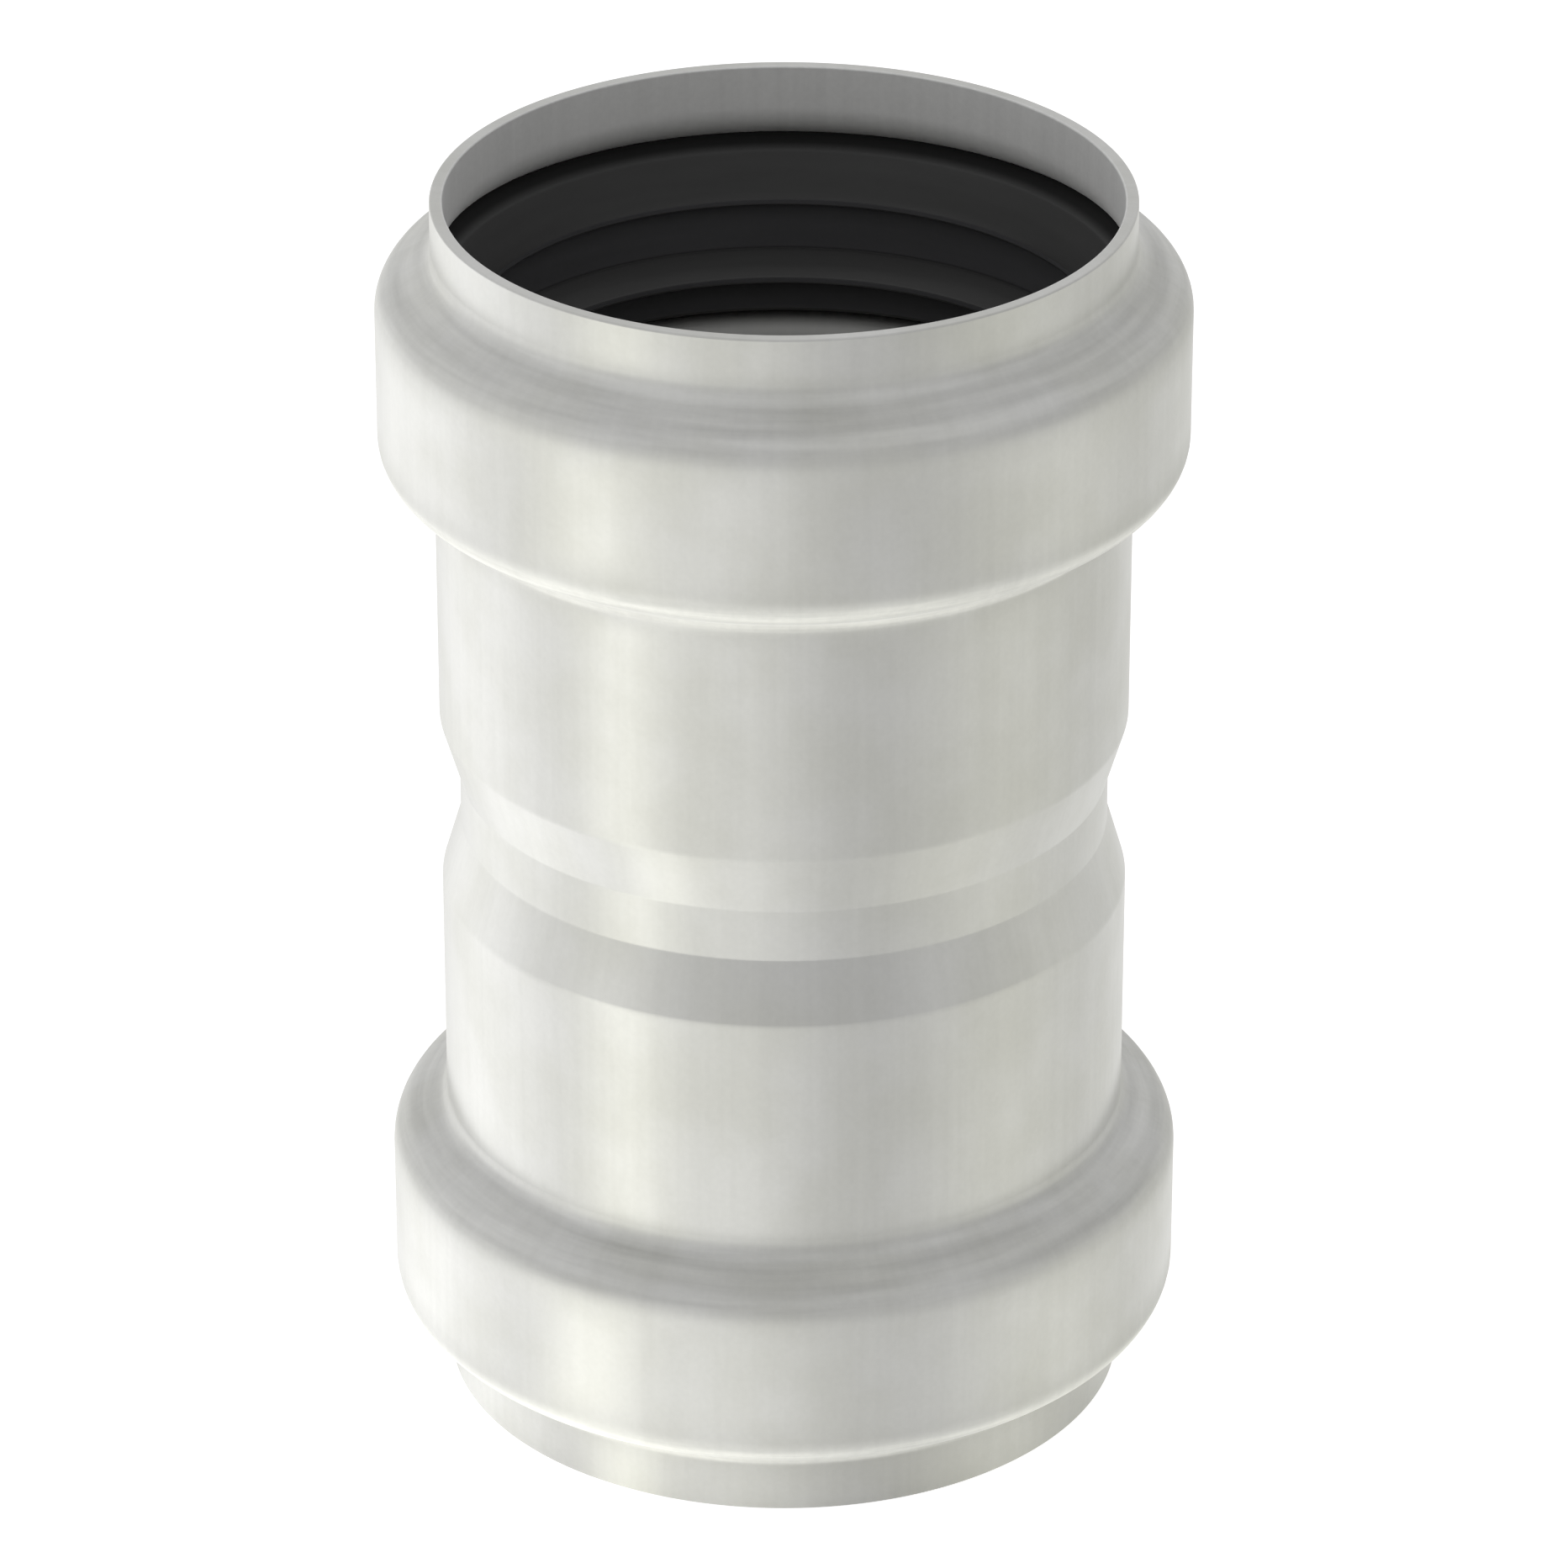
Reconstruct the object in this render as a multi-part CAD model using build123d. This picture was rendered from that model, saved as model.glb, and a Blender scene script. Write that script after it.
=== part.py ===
from build123d import *
from math import radians, tan
import os

# Double socket coupling: one stainless steel tube, formed with a bead near each mouth and a rolled waist
# at mid-length, and a black rubber lip seal sitting in each bead.
# Millimetres. The lower rim stands on z = 0, and +Z runs up the tube's axis.

# Pipe that each socket takes
pipe_diameter = 50.0
pipe_wall = 1.0

# Steel shell. Each bend is given by the radius on its hollow side, and the other side is one wall larger.
wall = 1.0
coupling_length = 98.6
socket_clearance = 0.5      # gap all round between the pipe and the socket
collar_length = 3.5         # straight wall between the rim and the bead
bead_length = 20.4          # from the bend that starts the bead to the bend that ends it
bead_rise = 4.25            # height of the bead over the socket's outer face
shoulder_angle = 30.0       # slope of the bead's shoulders, from square across the tube
bead_foot_bend = 1.8
bead_crown_bend = 2.0
waist_length = 4.1          # straight wall of the waist
stop_length = 5.0           # along the axis, of each cone between waist and socket
stop_bend = 0.5
rim_round = 0.15

# Lip seal. Lengths run along the axis, from its mouth end inwards.
seal_clearance = 0.05       # between the seal and the inside of its bead
seal_setback = 3.45         # from the start of the bead to the seal's inner face, at both ends
seal_face_gap = 0.4         # between the pipe and the seal's ends
seal_end_angle = 28.0       # slope of its end faces, from square across the tube
wiper_length = 3.5          # lead-in cone of the first lip
wiper_grip = 1.2            # how far the first lip reaches inside the pipe's outer face
main_lip_length = 1.45      # lead-in cone of the second lip
main_lip_grip = 2.4
main_lip_back = 0.75        # back slope of the second lip
lip_tip = 0.5               # flat at the tip of each lip
land_share = 0.6            # part of the remaining length that lies between the lips
seal_edge_round = 0.4
seal_crease_round = 0.15
lip_round = 0.2

# Radii and heights that follow from them
pipe_radius = pipe_diameter / 2
socket_radius = pipe_radius + socket_clearance
waist_radius = pipe_radius - pipe_wall
shell_radius = socket_radius + wall
bead_radius = shell_radius + bead_rise
middle = coupling_length / 2


# Corners of the shell's outer face from the waist up to the rim, with its bends still sharp.
# Each is a radius, a height over the middle, the bend's radius there, and 1 where that bend
# grows towards the axis or -1 where it shrinks.
def upper_corners():
    stop_top = waist_length / 2 + stop_length
    bead_middle = middle - collar_length - bead_length / 2
    foot_run = bead_foot_bend * tan(radians(90 - shoulder_angle) / 2)
    foot = bead_length / 2 - foot_run
    crown = foot - bead_rise * tan(radians(shoulder_angle))
    crown_bend = bead_crown_bend + wall
    return [
        (waist_radius + wall, waist_length / 2, stop_bend, 1),
        (shell_radius, stop_top, stop_bend + wall, -1),
        (shell_radius, bead_middle - foot, bead_foot_bend, 1),
        (bead_radius, bead_middle - crown, crown_bend, -1),
        (bead_radius, bead_middle + crown, crown_bend, -1),
        (shell_radius, bead_middle + foot, bead_foot_bend, 1),
    ]


# Section line of the shell from rim to rim, at a depth inside its outer face.
def section_line(depth):
    upper = upper_corners()
    lower = [(radius, -height, bend, side) for radius, height, bend, side in reversed(upper)]
    corners = [Vector(radius, 0, middle + height) for radius, height, bend, side in lower + upper]
    points = [Vector(shell_radius, 0, 0), *corners, Vector(shell_radius, 0, coupling_length)]
    runs = [(end - start).normalized() for start, end in zip(points, points[1:])]
    inward = [Vector(-run.Z, 0, run.X) for run in runs]
    mitres = [(one + two) * (depth / (1 + one.dot(two))) for one, two in zip(inward, inward[1:])]
    shifts = [inward[0] * depth, *mitres, inward[-1] * depth]
    bends = [bend + side * depth for radius, height, bend, side in lower + upper]
    return FilletPolyline(*[point + shift for point, shift in zip(points, shifts)], radius=bends)


# The shell, one wall of even thickness with its rim edges eased.
def coupling_shell():
    outer = section_line(0)
    inner = section_line(wall)
    lower_rim = Line(outer @ 0, inner @ 0)
    upper_rim = Line(outer @ 1, inner @ 1)
    shell = revolve(make_face(Curve() + [outer, lower_rim, inner, upper_rim]), Axis.Z)
    rings = shell.edges().group_by(Axis.Z)
    return fillet(rings[0] + rings[-1], rim_round)


# The space inside the shell, less the seal's clearance.
def seat_section():
    seat = section_line(wall + seal_clearance)
    low_end = (0, 0, 0)
    high_end = (0, 0, coupling_length)
    sides = [Line(seat @ 0, low_end), Line(low_end, high_end), Line(high_end, seat @ 1)]
    return make_face(Curve() + [seat, *sides])


# The upper seal: two lips on a body that fills the bead.
def upper_seal():
    face_radius = pipe_radius + seal_face_gap
    wiper_radius = pipe_radius - wiper_grip
    main_lip_radius = pipe_radius - main_lip_grip
    top = coupling_length - collar_length - seal_setback
    bottom = coupling_length - collar_length - bead_length + seal_setback
    lips_length = wiper_length + main_lip_length + main_lip_back + 2 * lip_tip
    land_length = land_share * (top - bottom - lips_length)
    wiper_tip = top - wiper_length
    land_top = wiper_tip - lip_tip
    land_bottom = land_top - land_length
    main_tip = land_bottom - main_lip_length
    main_back = main_tip - lip_tip - main_lip_back
    end_rise = (bead_radius - face_radius) * tan(radians(seal_end_angle))
    corners = [
        (face_radius, top, seal_edge_round),
        (wiper_radius, wiper_tip, lip_round),
        (wiper_radius, land_top, lip_round),
        (pipe_radius, land_top, seal_crease_round),
        (pipe_radius, land_bottom, seal_crease_round),
        (main_lip_radius, main_tip, lip_round),
        (main_lip_radius, main_tip - lip_tip, lip_round),
        (face_radius, main_back, seal_crease_round),
        (face_radius, bottom, seal_edge_round),
        (bead_radius, bottom - end_rise, 0),
        (bead_radius, top + end_rise, 0),
    ]
    points = [(radius, 0, height) for radius, height, rounding in corners]
    roundings = [rounding for radius, height, rounding in corners]
    blank = make_face(FilletPolyline(*points, radius=roundings, close=True))
    return revolve(blank & seat_section(), Axis.Z)


shell = coupling_shell()
seal = upper_seal()
nodes = {
    "coupling_shell": shell,
    "upper_seal": seal,
    "lower_seal": mirror(seal, Plane.XY.offset(middle)),
}

os.makedirs("parts", exist_ok=True)
for name, shape in nodes.items():
    export_step(shape, f"parts/{name}.step")
    print(name, "volume", round(shape.volume, 1))
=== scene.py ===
import bpy
import math
from mathutils import Matrix, Vector


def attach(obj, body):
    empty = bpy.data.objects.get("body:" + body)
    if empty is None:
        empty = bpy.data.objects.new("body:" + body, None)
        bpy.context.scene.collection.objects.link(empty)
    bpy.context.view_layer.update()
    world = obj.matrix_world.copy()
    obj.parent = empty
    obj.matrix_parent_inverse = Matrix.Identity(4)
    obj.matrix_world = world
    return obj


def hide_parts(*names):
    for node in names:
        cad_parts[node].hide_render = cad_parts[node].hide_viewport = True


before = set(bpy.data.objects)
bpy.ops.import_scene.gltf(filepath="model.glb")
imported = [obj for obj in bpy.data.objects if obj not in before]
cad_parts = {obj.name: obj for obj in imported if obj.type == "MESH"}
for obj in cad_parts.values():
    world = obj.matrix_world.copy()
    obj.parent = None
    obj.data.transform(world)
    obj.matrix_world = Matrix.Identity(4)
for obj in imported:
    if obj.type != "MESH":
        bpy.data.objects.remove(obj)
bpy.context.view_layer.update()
mm = 0.001

# octaves in a noise pattern, and the two values that nearly all of it lies between
plainDetail = 2.0
richDetail = 3.0
patternLow = 0.25
patternHigh = 0.75


# sRGB hex to linear RGBA
def linearColour(hexCode):
    parts = [int(hexCode[i:i + 2], 16) / 255 for i in (1, 3, 5)]
    return (*[p / 12.92 if p <= 0.04045 else ((p + 0.055) / 1.055) ** 2.4 for p in parts], 1)


# Adds one node with its own settings by name, and its inputs by name or number. An input is a value,
# an output of another node, or another node, which stands for its first output in use.
def addNode(tree, kind, settings=None, inputs=None):
    node = tree.nodes.new("ShaderNode" + kind)
    for key, value in (settings or {}).items():
        setattr(node, key, value)
    for key, value in (inputs or {}).items():
        named = [socket for socket in node.inputs if socket.enabled and socket.name == key]
        socket = named[0] if named else node.inputs[key]
        if isinstance(value, bpy.types.Node):
            value = next(out for out in value.outputs if out.enabled)
        if isinstance(value, bpy.types.NodeSocket):
            tree.links.new(value, socket)
        else:
            socket.default_value = value
    return node


def newMaterial(name):
    material = bpy.data.materials.new(name)
    material.use_nodes = True
    material.node_tree.nodes.clear()
    return material


# Rounds the corners of a section line. Corners are (radius, height, bend) in mm, arcStep is in degrees.
# Straight runs get a point close to each end, at guard, so that smooth shading stays flat on them.
def softenSection(corners, closed, arcStep=7.5, runStep=3.0, guard=0.06):
    count = len(corners)
    spans = []
    for i, (radius, height, bend) in enumerate(corners):
        here = Vector((radius, height))
        if bend == 0 or (not closed and i in (0, count - 1)):
            spans.append([here])
            continue
        before = (Vector(corners[i - 1][:2]) - here).normalized()
        after = (Vector(corners[(i + 1) % count][:2]) - here).normalized()
        half = before.angle(after) / 2
        centre = here + (before + after).normalized() * bend / math.sin(half)
        start = here + before * bend / math.tan(half) - centre
        turn = math.copysign(math.pi - 2 * half, after.cross(before))
        steps = max(3, math.ceil(abs(math.degrees(turn)) / arcStep))
        spans.append([centre + Matrix.Rotation(turn * k / steps, 2) @ start for k in range(steps + 1)])
    points = []
    for i, span in enumerate(spans):
        points += span
        if i + 1 == count and not closed:
            break
        start, end = span[-1], spans[(i + 1) % count][0]
        length = (end - start).length
        if length > 4 * guard:
            inner = max(1, math.ceil((length - 2 * guard) / runStep))
            shares = [guard + (length - 2 * guard) * k / inner for k in range(inner + 1)]
            points += [start.lerp(end, share / length) for share in shares]
    return points


# turns a closed section, listed anticlockwise, once round the tube's axis
def latheSection(name, points, segments):
    count = len(points)
    places = []
    for step in range(segments):
        turn = 2 * math.pi * step / segments
        places += [(p.x * mm * math.cos(turn), p.x * mm * math.sin(turn), p.y * mm) for p in points]
    faces = []
    for step in range(segments):
        here, there = step * count, (step + 1) % segments * count
        for k in range(count):
            after = (k + 1) % count
            faces.append((here + k, there + k, there + after, here + after))
    mesh = bpy.data.meshes.new(name)
    mesh.from_pydata(places, [], faces)
    mesh.shade_smooth()
    piece = bpy.data.objects.new(name, mesh)
    bpy.context.scene.collection.objects.link(piece)
    return piece


# Shell sizes in mm and degrees. Each bend is the radius on its hollow side.
shellSizes = {
    "length": 98.6,
    "wall": 1.0,
    "tubeRadius": 26.5,
    "beadRadius": 30.75,
    "waistRadius": 25.0,
    "collarLength": 3.5,
    "beadLength": 20.4,
    "shoulderAngle": 30.0,
    "footBend": 1.8,
    "crownBend": 2.0,
    "waistLength": 4.1,
    "stopLength": 5.0,
    "stopBend": 0.5,
    "rimRound": 0.15,
    "segments": 240,
}


# Corners of the shell's section line at a depth inside its outer face, from the lower rim to the upper one.
# The last number of a corner is 1 where its bend grows towards the axis and -1 where it shrinks.
def shellLine(depth):
    s = shellSizes
    middle = s["length"] / 2
    slope = math.radians(s["shoulderAngle"])
    beadMiddle = middle - s["collarLength"] - s["beadLength"] / 2
    foot = s["beadLength"] / 2 - s["footBend"] * math.tan((math.pi / 2 - slope) / 2)
    crown = foot - (s["beadRadius"] - s["tubeRadius"]) * math.tan(slope)
    stopTop = s["waistLength"] / 2 + s["stopLength"]
    upper = [
        (s["waistRadius"], s["waistLength"] / 2, s["stopBend"], 1),
        (s["tubeRadius"], stopTop, s["stopBend"] + s["wall"], -1),
        (s["tubeRadius"], beadMiddle - foot, s["footBend"], 1),
        (s["beadRadius"], beadMiddle - crown, s["crownBend"] + s["wall"], -1),
        (s["beadRadius"], beadMiddle + crown, s["crownBend"] + s["wall"], -1),
        (s["tubeRadius"], beadMiddle + foot, s["footBend"], 1),
    ]
    corners = [(r, -h, bend, side) for r, h, bend, side in reversed(upper)] + upper
    points = [Vector((r, middle + h)) for r, h, bend, side in corners]
    points = [Vector((s["tubeRadius"], 0)), *points, Vector((s["tubeRadius"], s["length"]))]
    runs = [(b - a).normalized() for a, b in zip(points, points[1:])]
    inward = [Vector((-run.y, run.x)) for run in runs]
    shifts = [(a + b) * depth / (1 + a.dot(b)) for a, b in zip(inward, inward[1:])]
    shifts = [inward[0] * depth, *shifts, inward[-1] * depth]
    bends = [0, *[bend + side * depth for r, h, bend, side in corners], 0]
    return [(p.x + d.x, p.y + d.y, bend) for p, d, bend in zip(points, shifts, bends)]


outerLine = shellLine(0)
innerLine = shellLine(shellSizes["wall"])
for line in (outerLine, innerLine):
    for end in (0, -1):
        line[end] = (*line[end][:2], shellSizes["rimRound"])
shell = latheSection("steelShell", softenSection(outerLine + innerLine[::-1], True), shellSizes["segments"])
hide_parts("coupling_shell")
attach(shell, "root")
print("steel shell", len(shell.data.polygons), "faces")

# Seal sizes in mm and degrees, from its mouth end inwards.
sealSizes = {
    "clearance": 0.05,
    "setback": 3.45,
    "faceRadius": 25.4,
    "endAngle": 28.0,
    "wiperLength": 3.5,
    "wiperRadius": 23.8,
    "landRadius": 25.0,
    "landShare": 0.6,
    "mainLipLength": 1.45,
    "mainLipRadius": 22.6,
    "mainLipBack": 0.75,
    "lipTip": 0.5,
    "edgeRound": 0.4,
    "creaseRound": 0.15,
    "lipRound": 0.2,
    "segments": 192,
}


# closed section of the upper seal: its lips, and behind them the inside of the bead
def sealSection():
    s = sealSizes
    rimSide = shellSizes["length"] - shellSizes["collarLength"]
    boreRadius = shellSizes["tubeRadius"] - shellSizes["wall"]
    top = rimSide - s["setback"]
    bottom = rimSide - shellSizes["beadLength"] + s["setback"]
    lips = s["wiperLength"] + s["mainLipLength"] + s["mainLipBack"] + 2 * s["lipTip"]
    wiperTip = top - s["wiperLength"]
    landTop = wiperTip - s["lipTip"]
    landBottom = landTop - s["landShare"] * (top - bottom - lips)
    mainTip = landBottom - s["mainLipLength"]
    mainBack = mainTip - s["lipTip"] - s["mainLipBack"]
    rise = math.tan(math.radians(s["endAngle"]))

    # how far a point lies inside both sloping end faces
    def depth(point):
        reach = (point.x - s["faceRadius"]) * rise
        return min(point.y - bottom + reach, top + reach - point.y)

    wallLine = softenSection(shellLine(shellSizes["wall"] + s["clearance"]), False)
    seat = [p for p in wallLine if p.y > shellSizes["length"] / 2 and p.x > boreRadius]
    held = [p for p in seat if depth(p) > 0]
    outside = (seat[seat.index(held[0]) - 1], seat[seat.index(held[-1]) + 1])
    lowEnd, highEnd = [out.lerp(p, -depth(out) / (depth(p) - depth(out)))
                       for out, p in zip(outside, (held[0], held[-1]))]
    front = [
        (*highEnd, 0),
        (s["faceRadius"], top, s["edgeRound"]),
        (s["wiperRadius"], wiperTip, s["lipRound"]),
        (s["wiperRadius"], landTop, s["lipRound"]),
        (s["landRadius"], landTop, s["creaseRound"]),
        (s["landRadius"], landBottom, s["creaseRound"]),
        (s["mainLipRadius"], mainTip, s["lipRound"]),
        (s["mainLipRadius"], mainTip - s["lipTip"], s["lipRound"]),
        (s["faceRadius"], mainBack, s["creaseRound"]),
        (s["faceRadius"], bottom, s["edgeRound"]),
        (*lowEnd, 0),
    ]
    return softenSection(front, False, arcStep=12, runStep=1.0, guard=0.03) + held


upperSection = sealSection()
lowerSection = [Vector((p.x, shellSizes["length"] - p.y)) for p in reversed(upperSection)]
seals = []
for name, node, section in (("upperSeal", "upper_seal", upperSection),
                            ("lowerSeal", "lower_seal", lowerSection)):
    seal = latheSection(name, section, sealSizes["segments"])
    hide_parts(node)
    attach(seal, "root")
    seals.append(seal)
    print(name, len(seal.data.polygons), "faces")


# Where a point of the coupling lies, in mm: the point itself, its direction out from the axis, its radius,
# its height and its distance from mid-length. Facing is 1 where the surface looks straight out from the
# axis and -1 where it looks straight at it.
def roundPlaces(tree):
    point = addNode(tree, "VectorMath", {"operation": "SCALE"},
                    {0: addNode(tree, "TexCoord").outputs["Object"], "Scale": 1 / mm})
    flat = addNode(tree, "VectorMath", {"operation": "MULTIPLY"}, {0: point, 1: (1, 1, 0)})
    outward = addNode(tree, "VectorMath", {"operation": "NORMALIZE"}, {0: flat})
    radius = addNode(tree, "VectorMath", {"operation": "LENGTH"}, {0: flat})
    height = addNode(tree, "SeparateXYZ", None, {0: point}).outputs["Z"]
    fromMiddle = addNode(tree, "Math", {"operation": "SUBTRACT"}, {0: height, 1: shellSizes["length"] / 2})
    fromMiddle = addNode(tree, "Math", {"operation": "ABSOLUTE"}, {0: fromMiddle})
    normal = addNode(tree, "NewGeometry").outputs["Normal"]
    facing = addNode(tree, "VectorMath", {"operation": "DOT_PRODUCT"}, {0: outward, 1: normal})
    return {"point": point, "outward": outward, "radius": radius, "height": height,
            "fromMiddle": fromMiddle, "normal": normal, "facing": facing}


# noise drawn out round the tube, with no seam: short along its section line, long round it
def ringNoise(tree, place, spacing, length):
    turn = addNode(tree, "VectorMath", {"operation": "SCALE"},
                   {0: place["outward"], "Scale": shellSizes["tubeRadius"] / length})
    turn = addNode(tree, "SeparateXYZ", None, {0: turn})
    along = addNode(tree, "Math", {"operation": "DIVIDE"}, {0: place["height"], 1: spacing})
    across = addNode(tree, "Math", {"operation": "DIVIDE"}, {0: place["radius"], 1: spacing})
    spot = addNode(tree, "CombineXYZ", None, {"X": turn.outputs["X"], "Y": turn.outputs["Y"], "Z": along})
    return addNode(tree, "TexNoise", {"noise_dimensions": "4D"},
                   {"Vector": spot, "W": across, "Scale": 1.0, "Detail": richDetail})


# Stainless steel, cold formed and pickled: pale neutral metal with a silky, slightly cloudy reflection.
# Faint drawing lines run along the tube. The rollers that formed the beads left them duller at their bends,
# with streaks round their slopes. The beads' down-facing surfaces are painted paler and made rougher, a
# painted highlight. The inside is duller than the outside, and dullest in the mouths; its colour is painted
# shade, darker deep inside, and painted light, palest in the mouths.
steelFinish = {
    "colour": "#CDCDCB",
    "cloudColour": "#C6C6C2",
    # painted shade deep inside, and painted light in the mouths
    "insideShadeColour": "#B8B8B6",
    "mouthLightColour": "#EBEBEA",
    # painted highlight: the beads' down-facing surfaces are painted this paler colour
    "underHighlightColour": "#F4F4F1",
    "roughness": 0.28,
    "cloudRoughness": 0.32,
    "bendRoughness": 0.5,
    "insideRoughness": 0.58,
    "mouthRoughness": 0.8,
    "undersideRoughness": 0.85,
    "collarShade": 0.06,             # how much darker than the rest
    "cloudSize": 9.0,                # mm across
    "grainSize": 0.45,               # mm; pickled grain is finer, this is as coarse as it needs to show
    "grainShade": 0.018,
    "drawnSpacing": 0.9,             # mm round the tube; real lines are finer, this is as coarse as shows
    "drawnLength": 35.0,             # mm along it
    "drawnShade": 0.022,
    "drawnHeight": 0.0015,           # mm
    "streakSpacing": 1.1,            # mm
    "streakLength": 15.0,            # mm
    "streakShade": 0.13,
    "beadMiddle": 35.6,              # mm from mid-length
    # each zone by where it begins and where it is full
    "collarZone": (9.0, 10.5),       # mm from a bead's middle towards the rim
    "mouthZone": (6.0, 8.0),
    "bendZone": (2.5, 6.5),          # mm from a bead's middle, either way
    "bendEndZone": (11.5, 9.0),
    "beadZone": (26.505, 26.65),     # mm of radius
    "underZone": (-0.05, -0.55),     # how far the surface looks up
    "slopeZone": (0.1, 0.5),         # how far it looks up or down
    "insideZone": (0.0, -0.3),       # facing
}
steel = newMaterial("stainlessSteelPickledSatin")
tree = steel.node_tree
place = roundPlaces(tree)
tilt = addNode(tree, "SeparateXYZ", None, {0: place["normal"]}).outputs["Z"]
steepness = addNode(tree, "Math", {"operation": "ABSOLUTE"}, {0: tilt})
rimwards = addNode(tree, "Math", {"operation": "SUBTRACT"},
                   {0: place["fromMiddle"], 1: steelFinish["beadMiddle"]})
fromBead = addNode(tree, "Math", {"operation": "ABSOLUTE"}, {0: rimwards})
begin, full = steelFinish["insideZone"]
inside = addNode(tree, "MapRange", None, {"Value": place["facing"], "From Min": begin, "From Max": full})
zones = {}
for zone, measure in (("collarZone", rimwards), ("mouthZone", rimwards), ("bendZone", fromBead),
                      ("bendEndZone", fromBead), ("beadZone", place["radius"]), ("underZone", tilt),
                      ("slopeZone", steepness)):
    begin, full = steelFinish[zone]
    zones[zone] = addNode(tree, "MapRange", {"interpolation_type": "SMOOTHSTEP"},
                          {"Value": measure, "From Min": begin, "From Max": full})
bends = addNode(tree, "Math", {"operation": "MULTIPLY"}, {0: zones["bendZone"], 1: zones["bendEndZone"]})
# painted highlight on the beads' down-facing surfaces, which are also made rougher
haze = addNode(tree, "Math", {"operation": "MULTIPLY"}, {0: zones["beadZone"], 1: zones["underZone"]})
slopes = addNode(tree, "Math", {"operation": "MULTIPLY"}, {0: zones["beadZone"], 1: zones["slopeZone"]})

cloud = addNode(tree, "TexNoise", None, {"Vector": place["point"], "Scale": 1 / steelFinish["cloudSize"],
                                         "Detail": richDetail})
cloud = addNode(tree, "MapRange", {"interpolation_type": "SMOOTHERSTEP"},
                {"Value": cloud, "From Min": patternLow, "From Max": patternHigh})
grain = addNode(tree, "TexNoise", None, {"Vector": place["point"], "Scale": 1 / steelFinish["grainSize"],
                                         "Detail": plainDetail})
spread = addNode(tree, "VectorMath", {"operation": "SCALE"},
                 {0: place["outward"], "Scale": shellSizes["tubeRadius"] / steelFinish["drawnSpacing"]})
along = addNode(tree, "Math", {"operation": "DIVIDE"}, {0: place["height"], 1: steelFinish["drawnLength"]})
along = addNode(tree, "CombineXYZ", None, {"Z": along})
along = addNode(tree, "VectorMath", {"operation": "ADD"}, {0: spread, 1: along})
drawn = addNode(tree, "TexNoise", None, {"Vector": along, "Scale": 1.0, "Detail": richDetail})
streaks = ringNoise(tree, place, steelFinish["streakSpacing"], steelFinish["streakLength"])

# the collars' shade, and on it each pattern, which swings it up and down by its own share
shade = addNode(tree, "MapRange", {"clamp": False},
                {"Value": zones["collarZone"], "To Min": 1.0, "To Max": 1 - steelFinish["collarShade"]})
for pattern, swing, share in ((grain, steelFinish["grainShade"], None),
                              (drawn, steelFinish["drawnShade"], None),
                              (streaks, steelFinish["streakShade"], slopes)):
    part = addNode(tree, "MapRange", {"clamp": False}, {"Value": pattern, "From Min": patternLow,
                                                        "From Max": patternHigh, "To Min": -swing,
                                                        "To Max": swing})
    if share:
        part = addNode(tree, "Math", {"operation": "MULTIPLY"}, {0: part, 1: share})
    shade = addNode(tree, "Math", {"operation": "ADD"}, {0: shade, 1: part})

colour = addNode(tree, "Mix", {"data_type": "RGBA"},
                 {"Factor": cloud, "A": linearColour(steelFinish["colour"]),
                  "B": linearColour(steelFinish["cloudColour"])})
# inside: painted shade deeper in, painted light towards the mouths
innerColour = addNode(tree, "Mix", {"data_type": "RGBA"},
                      {"Factor": zones["mouthZone"], "A": linearColour(steelFinish["insideShadeColour"]),
                       "B": linearColour(steelFinish["mouthLightColour"])})
# the inside's painted shade and light, then the painted highlight on the beads' down-facing surfaces
for share, value in ((inside, innerColour), (haze, linearColour(steelFinish["underHighlightColour"]))):
    colour = addNode(tree, "Mix", {"data_type": "RGBA"}, {"Factor": share, "A": colour, "B": value})
colour = addNode(tree, "VectorMath", {"operation": "SCALE"}, {0: colour, "Scale": shade})

rough = addNode(tree, "Mix", None,
                {"Factor": cloud, "A": steelFinish["roughness"], "B": steelFinish["cloudRoughness"]})
innerRough = addNode(tree, "Mix", None, {"Factor": zones["mouthZone"], "A": steelFinish["insideRoughness"],
                                         "B": steelFinish["mouthRoughness"]})
for share, value in ((bends, steelFinish["bendRoughness"]), (inside, innerRough),
                     (haze, steelFinish["undersideRoughness"])):
    rough = addNode(tree, "Mix", None, {"Factor": share, "A": rough, "B": value})
bump = addNode(tree, "Bump", None,
               {"Height": drawn, "Distance": steelFinish["drawnHeight"] * mm, "Strength": 1.0})
shader = addNode(tree, "BsdfPrincipled", None,
                 {"Base Color": colour, "Metallic": 1.0, "Roughness": rough, "Normal": bump})
addNode(tree, "OutputMaterial", None, {"Surface": shader})
shell.data.materials.append(steel)

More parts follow.
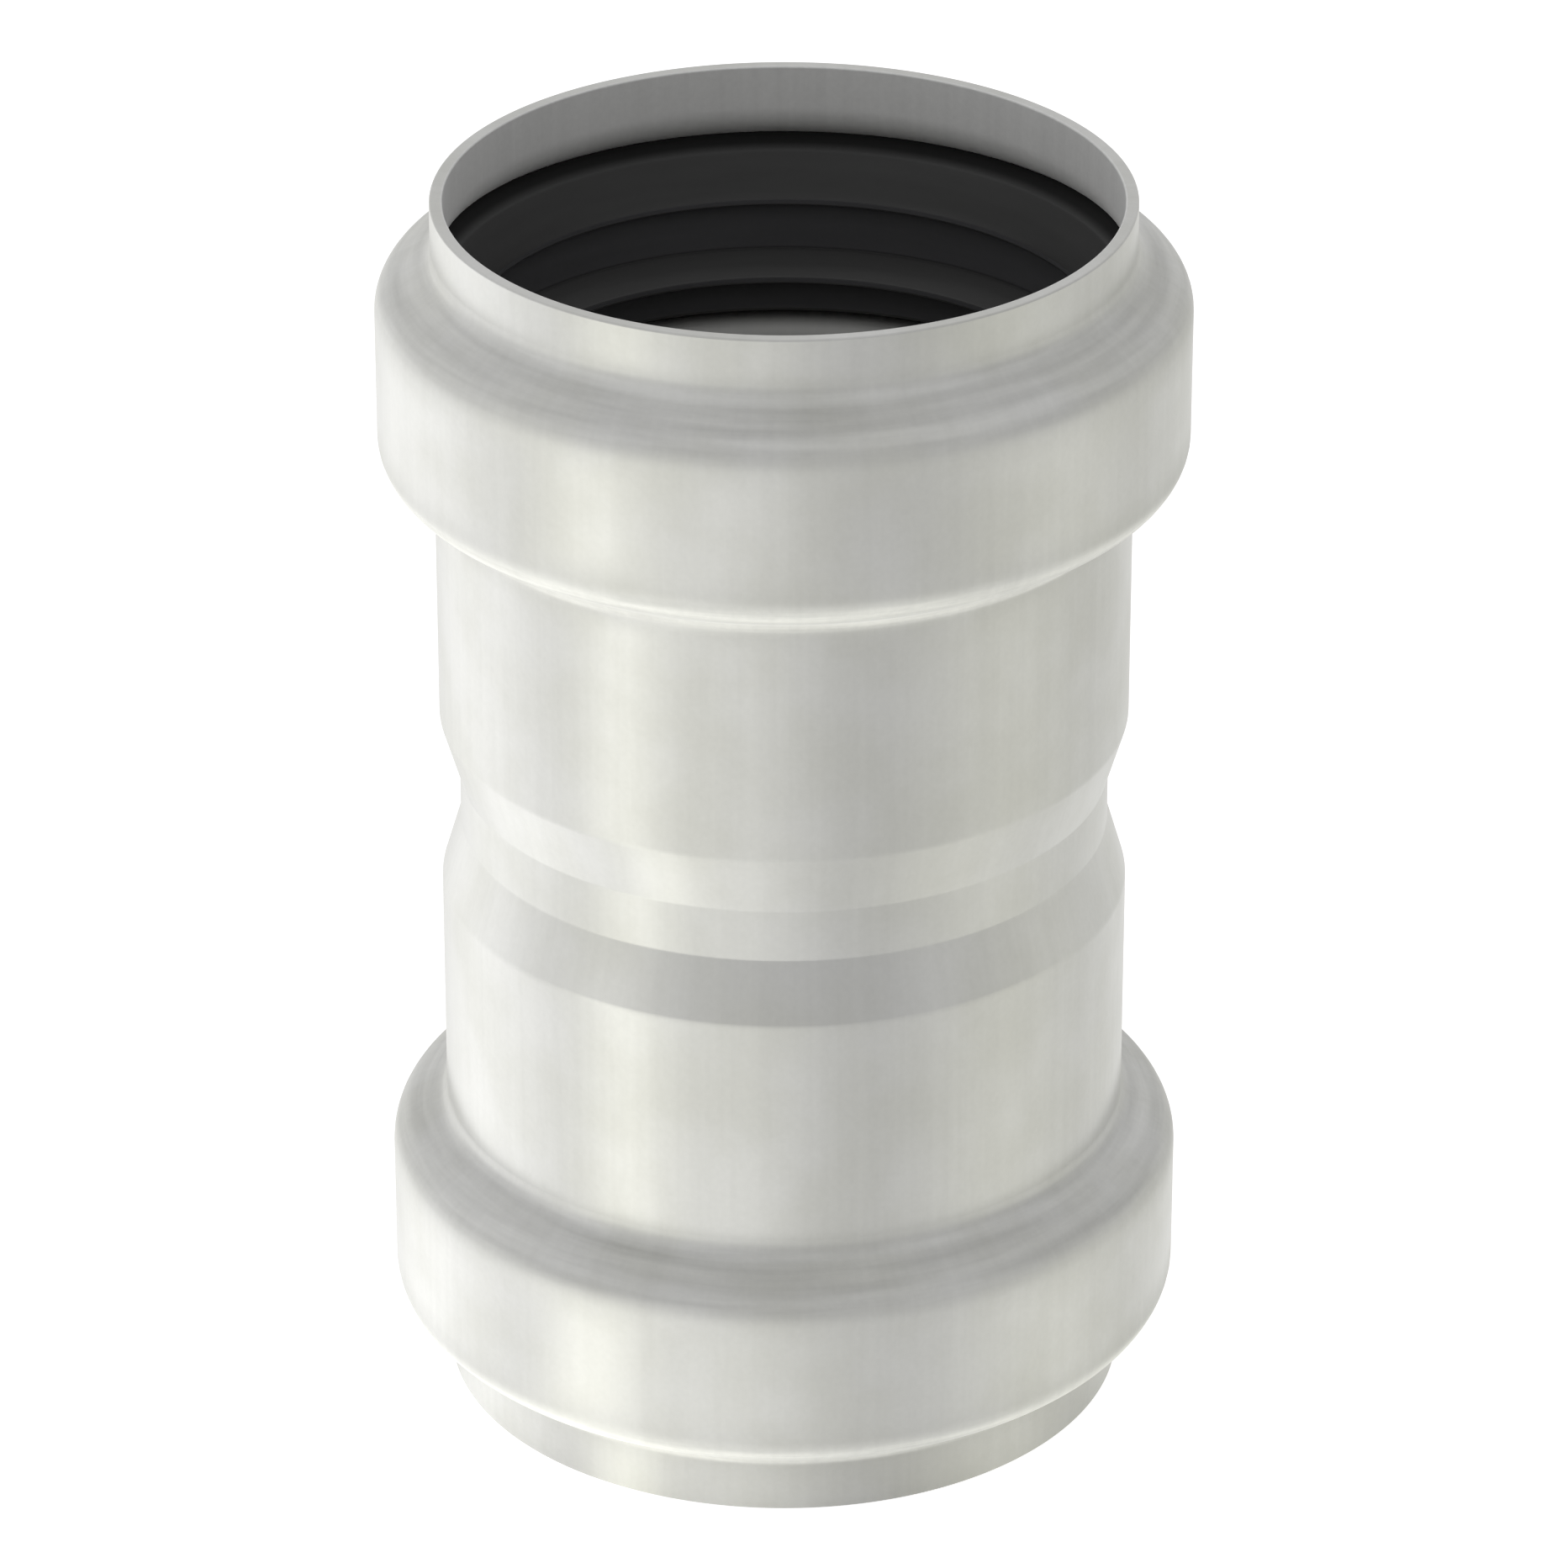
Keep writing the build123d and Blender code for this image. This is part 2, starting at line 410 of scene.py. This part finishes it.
# EPDM rubber, moulded: near-black with a dull, very fine grain. The mould's polish shows on the lips.
# Faces turned straight at the axis, the groove and the tips, are painted greyer as painted light, and a
# line of painted shade lies where the groove meets the second lip. The end faces are painted shade, deep
# black.
rubberFinish = {
    "colour": "#363636",
    # painted light: faces turned straight at the axis are painted this greyer colour
    "inwardLightColour": "#48484A",
    # painted shade: the end faces, in the recess against the steel, are painted deep black
    "endShadeColour": "#101010",
    "roughness": 0.55,
    "lipRoughness": 0.3,
    "endRoughness": 0.8,
    "specular": 0.3,
    "grainSize": 0.3,                # mm; the mould's texture, a little coarser than it is
    "grainHeight": 0.004,            # mm
    "flowSpacing": 1.75,             # mm
    "flowLength": 14.0,              # mm round the seal
    "flowShade": 0.12,
    "crease": 34.31,                 # mm from mid-length, of the line of painted shade in the crease
    "creaseHalf": 0.2,               # mm
    "creaseShade": 0.6,
    # each zone by where it begins and where it is full
    "bloomZone": (-0.93, -0.99),     # facing
    "endZone": (25.35, 26.2),        # mm of radius
    "lipZone": (24.1, 23.75),        # mm of radius
}
rubber = newMaterial("epdmRubberMouldedMatt")
tree = rubber.node_tree
place = roundPlaces(tree)
zones = {}
for zone, measure in (("bloomZone", place["facing"]), ("endZone", place["radius"]),
                      ("lipZone", place["radius"])):
    begin, full = rubberFinish[zone]
    zones[zone] = addNode(tree, "MapRange", {"interpolation_type": "SMOOTHSTEP"},
                          {"Value": measure, "From Min": begin, "From Max": full})
# painted shade: a dark line in the crease where the groove meets the second lip
crease = addNode(tree, "Math", {"operation": "SUBTRACT"},
                 {0: place["fromMiddle"], 1: rubberFinish["crease"]})
crease = addNode(tree, "Math", {"operation": "ABSOLUTE"}, {0: crease})
crease = addNode(tree, "MapRange", {"interpolation_type": "SMOOTHSTEP"},
                 {"Value": crease, "From Max": rubberFinish["creaseHalf"],
                  "To Min": 1 - rubberFinish["creaseShade"], "To Max": 1.0})
shade = ringNoise(tree, place, rubberFinish["flowSpacing"], rubberFinish["flowLength"])
shade = addNode(tree, "MapRange", {"clamp": False},
                {"Value": shade, "From Min": patternLow, "From Max": patternHigh,
                 "To Min": 1 - rubberFinish["flowShade"], "To Max": 1 + rubberFinish["flowShade"]})
shade = addNode(tree, "Math", {"operation": "MULTIPLY"}, {0: shade, 1: crease})
colour = linearColour(rubberFinish["colour"])
# painted light on faces turned at the axis, then painted shade on the end faces
for zone, hexCode in (("bloomZone", rubberFinish["inwardLightColour"]), ("endZone", rubberFinish["endShadeColour"])):
    colour = addNode(tree, "Mix", {"data_type": "RGBA"},
                     {"Factor": zones[zone], "A": colour, "B": linearColour(hexCode)})
colour = addNode(tree, "VectorMath", {"operation": "SCALE"}, {0: colour, "Scale": shade})
rough = rubberFinish["roughness"]
for zone, value in (("lipZone", rubberFinish["lipRoughness"]), ("endZone", rubberFinish["endRoughness"])):
    rough = addNode(tree, "Mix", None, {"Factor": zones[zone], "A": rough, "B": value})
grain = addNode(tree, "TexNoise", None, {"Vector": place["point"], "Scale": 1 / rubberFinish["grainSize"],
                                         "Detail": plainDetail})
bump = addNode(tree, "Bump", None,
               {"Height": grain, "Distance": rubberFinish["grainHeight"] * mm, "Strength": 1.0})
shader = addNode(tree, "BsdfPrincipled", None,
                 {"Base Color": colour, "Roughness": rough, "Specular IOR Level": rubberFinish["specular"],
                  "Normal": bump})
addNode(tree, "OutputMaterial", None, {"Surface": shader})
for seal in seals:
    seal.data.materials.append(rubber)
print("materials done")

# Studio: an opal table lit from below, and a plain room round it. The camera sees both as plain white,
# and from below it sees the coupling through the table.
# Each glow is (azimuth in degrees from the camera's side towards +X, strength, how narrow, colour).
studio = {
    "tableSize": 8.0,                # m
    "tableColour": (0.5, 0.5, 0.5, 1),
    "tableGlow": 0.27,
    "tableGlows": [
        (-128, 0.81, 6, "#FFFFFC"),
        (-90, 0.17, 30, "#FFFFFF"),
        (-56, 0.75, 55, "#FFFFF2"),
        (-19, 0.42, 13, "#FFFFF6"),
        (82, 0.29, 9, "#FFFFE8"),
        (150, 0.22, 14, "#FFFFF2"),
    ],
    "ringGlow": 0.13,                # of a soft ring of light round the coupling
    "ringRadius": 0.05,              # m
    "underShade": 0.45,              # how much darker the table is inside the coupling's foot
    "underRadius": 0.024,            # m, where that shade begins to fade
    "plainGlow": 0.8,                # of the table as the camera sees it
    "ceiling": 0.745,
    "ceilingLean": 0.08,             # how much brighter towards -X
    "horizon": 0.54,
    "horizonGlows": [
        (-125, 0.32, 5, "#FFFFFF"),
        (-62, 0.17, 20, "#FFFFFF"),
        (52, 0.22, 90, "#FFFFFF"),
        (120, 0.12, 6, "#FFFFFF"),
        (175, 0.3, 8, "#FFFFFF"),
    ],
    "horizonFall": 2.0,              # how fast the horizon gives way to the ceiling
    "plainRoom": (1, 1, 1, 1),       # the room as the camera sees it
}


# Adds up glows by azimuth. A low place on the tube mirrors the table close by, where it looks less far
# round than it would in the distance, so on the table the azimuth grows towards the foot of a tube of the
# reach given, up to twice.
def addGlows(tree, spot, base, glows, reach):
    parts = addNode(tree, "SeparateXYZ", None, {0: spot})
    ahead = addNode(tree, "Math", {"operation": "MULTIPLY"}, {0: parts.outputs["Y"], 1: -1.0})
    azimuth = addNode(tree, "Math", {"operation": "ARCTAN2"}, {0: parts.outputs["X"], 1: ahead})
    if reach:
        away = addNode(tree, "VectorMath", {"operation": "LENGTH"}, {0: spot})
        near = addNode(tree, "Math", {"operation": "DIVIDE"}, {0: -reach / 2, 1: away})
        near = addNode(tree, "Math", {"operation": "ADD"}, {0: near, 1: 1.0})
        near = addNode(tree, "Math", {"operation": "MAXIMUM"}, {0: near, 1: 0.5})
        azimuth = addNode(tree, "Math", {"operation": "DIVIDE"}, {0: azimuth, 1: near})
        azimuth = addNode(tree, "Math", {"operation": "MINIMUM"}, {0: azimuth, 1: math.pi})
        azimuth = addNode(tree, "Math", {"operation": "MAXIMUM"}, {0: azimuth, 1: -math.pi})
    total = base
    for turn, strength, narrow, hexCode in glows:
        share = addNode(tree, "Math", {"operation": "SUBTRACT"}, {0: azimuth, 1: math.radians(turn)})
        share = addNode(tree, "Math", {"operation": "COSINE"}, {0: share})
        share = addNode(tree, "Math", {"operation": "MULTIPLY_ADD"}, {0: share, 1: 0.5, 2: 0.5})
        share = addNode(tree, "Math", {"operation": "POWER"}, {0: share, 1: narrow})
        tint = [strength * part for part in linearColour(hexCode)[:3]]
        total = addNode(tree, "VectorMath", {"operation": "MULTIPLY_ADD"}, {0: share, 1: tint, 2: total})
    return total


world = bpy.data.worlds.new("studioRoom")
bpy.context.scene.world = world
world.use_nodes = True
tree = world.node_tree
tree.nodes.clear()
around = addNode(tree, "TexCoord").outputs["Generated"]
ceiling = addNode(tree, "VectorMath", {"operation": "DOT_PRODUCT"},
                  {0: around, 1: (-studio["ceilingLean"], 0, 0)})
ceiling = addNode(tree, "Math", {"operation": "ADD"}, {0: ceiling, 1: studio["ceiling"]})
horizon = addGlows(tree, around, [studio["horizon"] - studio["ceiling"]] * 3, studio["horizonGlows"], 0)
up = addNode(tree, "SeparateXYZ", None, {0: around}).outputs["Z"]
low = addNode(tree, "Math", {"operation": "SUBTRACT", "use_clamp": True}, {0: 1.0, 1: up})
low = addNode(tree, "Math", {"operation": "POWER"}, {0: low, 1: studio["horizonFall"]})
room = addNode(tree, "VectorMath", {"operation": "MULTIPLY_ADD"}, {0: low, 1: horizon, 2: ceiling})
direct = addNode(tree, "LightPath").outputs["Is Camera Ray"]
room = addNode(tree, "Mix", {"data_type": "RGBA"}, {"Factor": direct, "A": room, "B": studio["plainRoom"]})
light = addNode(tree, "Background", None, {"Color": room, "Strength": 1.0})
addNode(tree, "OutputWorld", None, {"Surface": light})

half = studio["tableSize"] / 2
mesh = bpy.data.meshes.new("litTable")
corners = [(-half, -half, 0), (half, -half, 0), (half, half, 0), (-half, half, 0)]
mesh.from_pydata(corners, [], [(0, 1, 2, 3)])
table = bpy.data.objects.new("litTable", mesh)
bpy.context.scene.collection.objects.link(table)
opal = newMaterial("opalAcrylicTable")
tree = opal.node_tree
spot = addNode(tree, "TexCoord").outputs["Object"]
footRadius = shellSizes["tubeRadius"] * mm
glow = addGlows(tree, spot, [studio["tableGlow"]] * 3, studio["tableGlows"], footRadius)

# the ring of light: square times bell is highest, 1/e, at the ring's radius
away = addNode(tree, "VectorMath", {"operation": "LENGTH"}, {0: spot})
share = addNode(tree, "Math", {"operation": "DIVIDE"}, {0: away, 1: studio["ringRadius"]})
square = addNode(tree, "Math", {"operation": "MULTIPLY"}, {0: share, 1: share})
bell = addNode(tree, "Math", {"operation": "POWER"}, {0: math.exp(-1), 1: square})
ring = addNode(tree, "Math", {"operation": "MULTIPLY"}, {0: bell, 1: square})
ring = addNode(tree, "Math", {"operation": "MULTIPLY"}, {0: ring, 1: studio["ringGlow"] * math.e})
glow = addNode(tree, "VectorMath", {"operation": "ADD"}, {0: glow, 1: ring})

direct = addNode(tree, "LightPath").outputs["Is Camera Ray"]
plain = (*[studio["plainGlow"]] * 3, 1)
glow = addNode(tree, "Mix", {"data_type": "RGBA"}, {"Factor": direct, "A": glow, "B": plain})
under = addNode(tree, "MapRange", {"interpolation_type": "SMOOTHSTEP"},
                {"Value": away, "From Min": studio["underRadius"], "From Max": footRadius,
                 "To Min": 1 - studio["underShade"], "To Max": 1.0})
glow = addNode(tree, "VectorMath", {"operation": "SCALE"}, {0: glow, "Scale": under})
lit = addNode(tree, "Emission", None, {"Color": glow, "Strength": 1.0})
matt = addNode(tree, "BsdfDiffuse", None, {"Color": studio["tableColour"]})
both = addNode(tree, "AddShader", None, {0: lit, 1: matt})
fromBelow = addNode(tree, "NewGeometry").outputs["Backfacing"]
both = addNode(tree, "MixShader", None, {0: fromBelow, 1: both, 2: addNode(tree, "BsdfTransparent")})
addNode(tree, "OutputMaterial", None, {"Surface": both})
mesh.materials.append(opal)
print("studio done")

# camera at the photograph's angle, in metres and degrees, with its lens and sensor in mm
photoCamera = {
    "location": (0, -0.56955, 0.34073),
    "pitch": 27.099,
    "lens": 189.98,
    "sensor": 36,
    "clipStart": 0.01,
}
cameraData = bpy.data.cameras.new("photoCamera")
cameraData.sensor_fit = "HORIZONTAL"
cameraData.sensor_width = photoCamera["sensor"]
cameraData.lens = photoCamera["lens"]
cameraData.clip_start = photoCamera["clipStart"]
camera = bpy.data.objects.new("photoCamera", cameraData)
camera.location = photoCamera["location"]
camera.rotation_euler = (math.radians(90 - photoCamera["pitch"]), 0, 0)
bpy.context.scene.collection.objects.link(camera)
bpy.context.scene.camera = camera
bpy.context.scene.view_settings.view_transform = "Standard"
